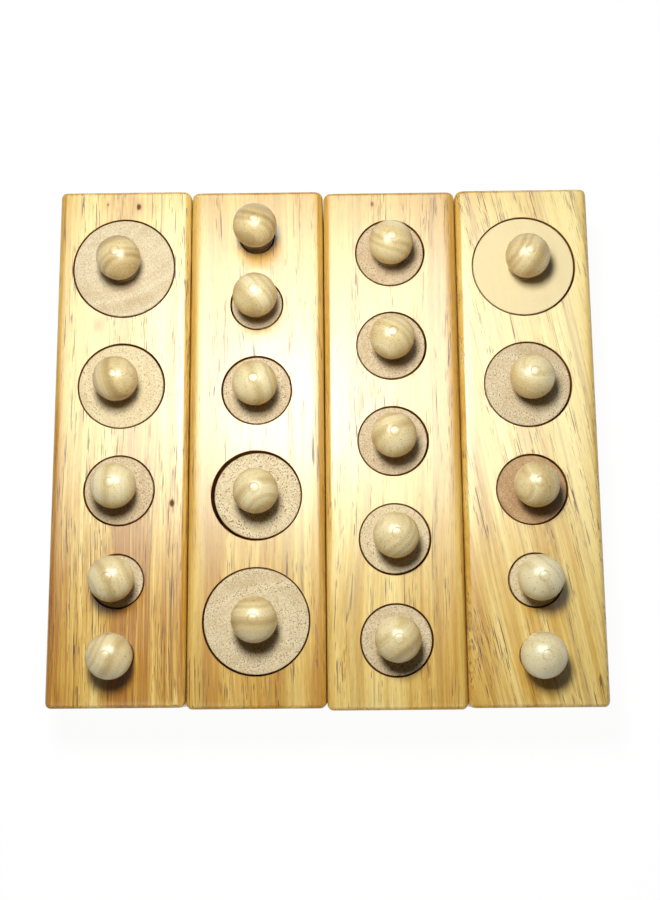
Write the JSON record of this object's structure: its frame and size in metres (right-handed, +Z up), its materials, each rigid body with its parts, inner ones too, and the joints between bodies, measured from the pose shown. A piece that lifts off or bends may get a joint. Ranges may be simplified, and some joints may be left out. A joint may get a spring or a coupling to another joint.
{
  "type": "knobbed cylinder block set",
  "caption": "Wooden sensorial blocks standing side by side, each with a row of graded cylinders that lift by ball knobs out of matching blind sockets.",
  "frame": {"origin": "on the table, under the middle of the group of blocks", "axes": "+Z up, the blocks' length along Y with their far ends at +Y, and blocks a to d one after another along +X"},
  "size_m": [0.223, 0.2166, 0.0722],
  "materials": {
    "block_wood": "clear satin lacquer",
    "cylinder_wood": "clear satin lacquer on end grain",
    "knob_wood": "clear satin lacquer"
  },
  "bodies": {
    "block_a": {"block_a": "block_wood"},
    "block_b": {"block_b": "block_wood"},
    "block_c": {"block_c": "block_wood"},
    "block_d": {"block_d": "block_wood"},
    "cylinder_a1": {"cylinder_a1": "cylinder_wood", "knob_a1": "knob_wood"},
    "cylinder_a2": {"cylinder_a2": "cylinder_wood", "knob_a2": "knob_wood"},
    "cylinder_a3": {"cylinder_a3": "cylinder_wood", "knob_a3": "knob_wood"},
    "cylinder_a4": {"cylinder_a4": "cylinder_wood", "knob_a4": "knob_wood"},
    "cylinder_a5": {"cylinder_a5": "cylinder_wood", "knob_a5": "knob_wood"},
    "cylinder_b1": {"cylinder_b1": "cylinder_wood", "knob_b1": "knob_wood"},
    "cylinder_b2": {"cylinder_b2": "cylinder_wood", "knob_b2": "knob_wood"},
    "cylinder_b3": {"cylinder_b3": "cylinder_wood", "knob_b3": "knob_wood"},
    "cylinder_b4": {"cylinder_b4": "cylinder_wood", "knob_b4": "knob_wood"},
    "cylinder_b5": {"cylinder_b5": "cylinder_wood", "knob_b5": "knob_wood"},
    "cylinder_c1": {"cylinder_c1": "cylinder_wood", "knob_c1": "knob_wood"},
    "cylinder_c2": {"cylinder_c2": "cylinder_wood", "knob_c2": "knob_wood"},
    "cylinder_c3": {"cylinder_c3": "cylinder_wood", "knob_c3": "knob_wood"},
    "cylinder_c4": {"cylinder_c4": "cylinder_wood", "knob_c4": "knob_wood"},
    "cylinder_c5": {"cylinder_c5": "cylinder_wood", "knob_c5": "knob_wood"},
    "cylinder_d1": {"cylinder_d1": "cylinder_wood", "knob_d1": "knob_wood"},
    "cylinder_d2": {"cylinder_d2": "cylinder_wood", "knob_d2": "knob_wood"},
    "cylinder_d3": {"cylinder_d3": "cylinder_wood", "knob_d3": "knob_wood"},
    "cylinder_d4": {"cylinder_d4": "cylinder_wood", "knob_d4": "knob_wood"},
    "cylinder_d5": {"cylinder_d5": "cylinder_wood", "knob_d5": "knob_wood"}
  },
  "joints": [
    {"name": "pull_b", "type": "slide", "parent": "block_a", "child": "block_b", "axis": [1, 0, 0], "range_m": [0, 0.06]},
    {"name": "pull_c", "type": "slide", "parent": "block_b", "child": "block_c", "axis": [1, 0, 0], "range_m": [0, 0.06]},
    {"name": "pull_d", "type": "slide", "parent": "block_c", "child": "block_d", "axis": [1, 0, 0], "range_m": [0, 0.06]},
    {"name": "lift_a1", "type": "slide", "parent": "block_a", "child": "cylinder_a1", "axis": [0, 0, 1], "range_m": [0, 0.05]},
    {"name": "lift_a2", "type": "slide", "parent": "block_a", "child": "cylinder_a2", "axis": [0, 0, 1], "range_m": [0, 0.043]},
    {"name": "lift_a3", "type": "slide", "parent": "block_a", "child": "cylinder_a3", "axis": [0, 0, 1], "range_m": [0, 0.036]},
    {"name": "lift_a4", "type": "slide", "parent": "block_a", "child": "cylinder_a4", "axis": [0, 0, 1], "range_m": [0, 0.029]},
    {"name": "lift_a5", "type": "slide", "parent": "block_a", "child": "cylinder_a5", "axis": [0, 0, 1], "range_m": [0, 0.022]},
    {"name": "lift_b1", "type": "slide", "parent": "block_b", "child": "cylinder_b1", "axis": [0, 0, 1], "range_m": [0, 0.05]},
    {"name": "lift_b2", "type": "slide", "parent": "block_b", "child": "cylinder_b2", "axis": [0, 0, 1], "range_m": [0, 0.05]},
    {"name": "lift_b3", "type": "slide", "parent": "block_b", "child": "cylinder_b3", "axis": [0, 0, 1], "range_m": [0, 0.05]},
    {"name": "lift_b4", "type": "slide", "parent": "block_b", "child": "cylinder_b4", "axis": [0, 0, 1], "range_m": [0, 0.05]},
    {"name": "lift_b5", "type": "slide", "parent": "block_b", "child": "cylinder_b5", "axis": [0, 0, 1], "range_m": [0, 0.05]},
    {"name": "lift_c1", "type": "slide", "parent": "block_c", "child": "cylinder_c1", "axis": [0, 0, 1], "range_m": [0, 0.05]},
    {"name": "lift_c2", "type": "slide", "parent": "block_c", "child": "cylinder_c2", "axis": [0, 0, 1], "range_m": [0, 0.043]},
    {"name": "lift_c3", "type": "slide", "parent": "block_c", "child": "cylinder_c3", "axis": [0, 0, 1], "range_m": [0, 0.036]},
    {"name": "lift_c4", "type": "slide", "parent": "block_c", "child": "cylinder_c4", "axis": [0, 0, 1], "range_m": [0, 0.029]},
    {"name": "lift_c5", "type": "slide", "parent": "block_c", "child": "cylinder_c5", "axis": [0, 0, 1], "range_m": [0, 0.022]},
    {"name": "lift_d1", "type": "slide", "parent": "block_d", "child": "cylinder_d1", "axis": [0, 0, 1], "range_m": [0, 0.022]},
    {"name": "lift_d2", "type": "slide", "parent": "block_d", "child": "cylinder_d2", "axis": [0, 0, 1], "range_m": [0, 0.029]},
    {"name": "lift_d3", "type": "slide", "parent": "block_d", "child": "cylinder_d3", "axis": [0, 0, 1], "range_m": [0, 0.036]},
    {"name": "lift_d4", "type": "slide", "parent": "block_d", "child": "cylinder_d4", "axis": [0, 0, 1], "range_m": [0, 0.043]},
    {"name": "lift_d5", "type": "slide", "parent": "block_d", "child": "cylinder_d5", "axis": [0, 0, 1], "range_m": [0, 0.05]}
  ]
}
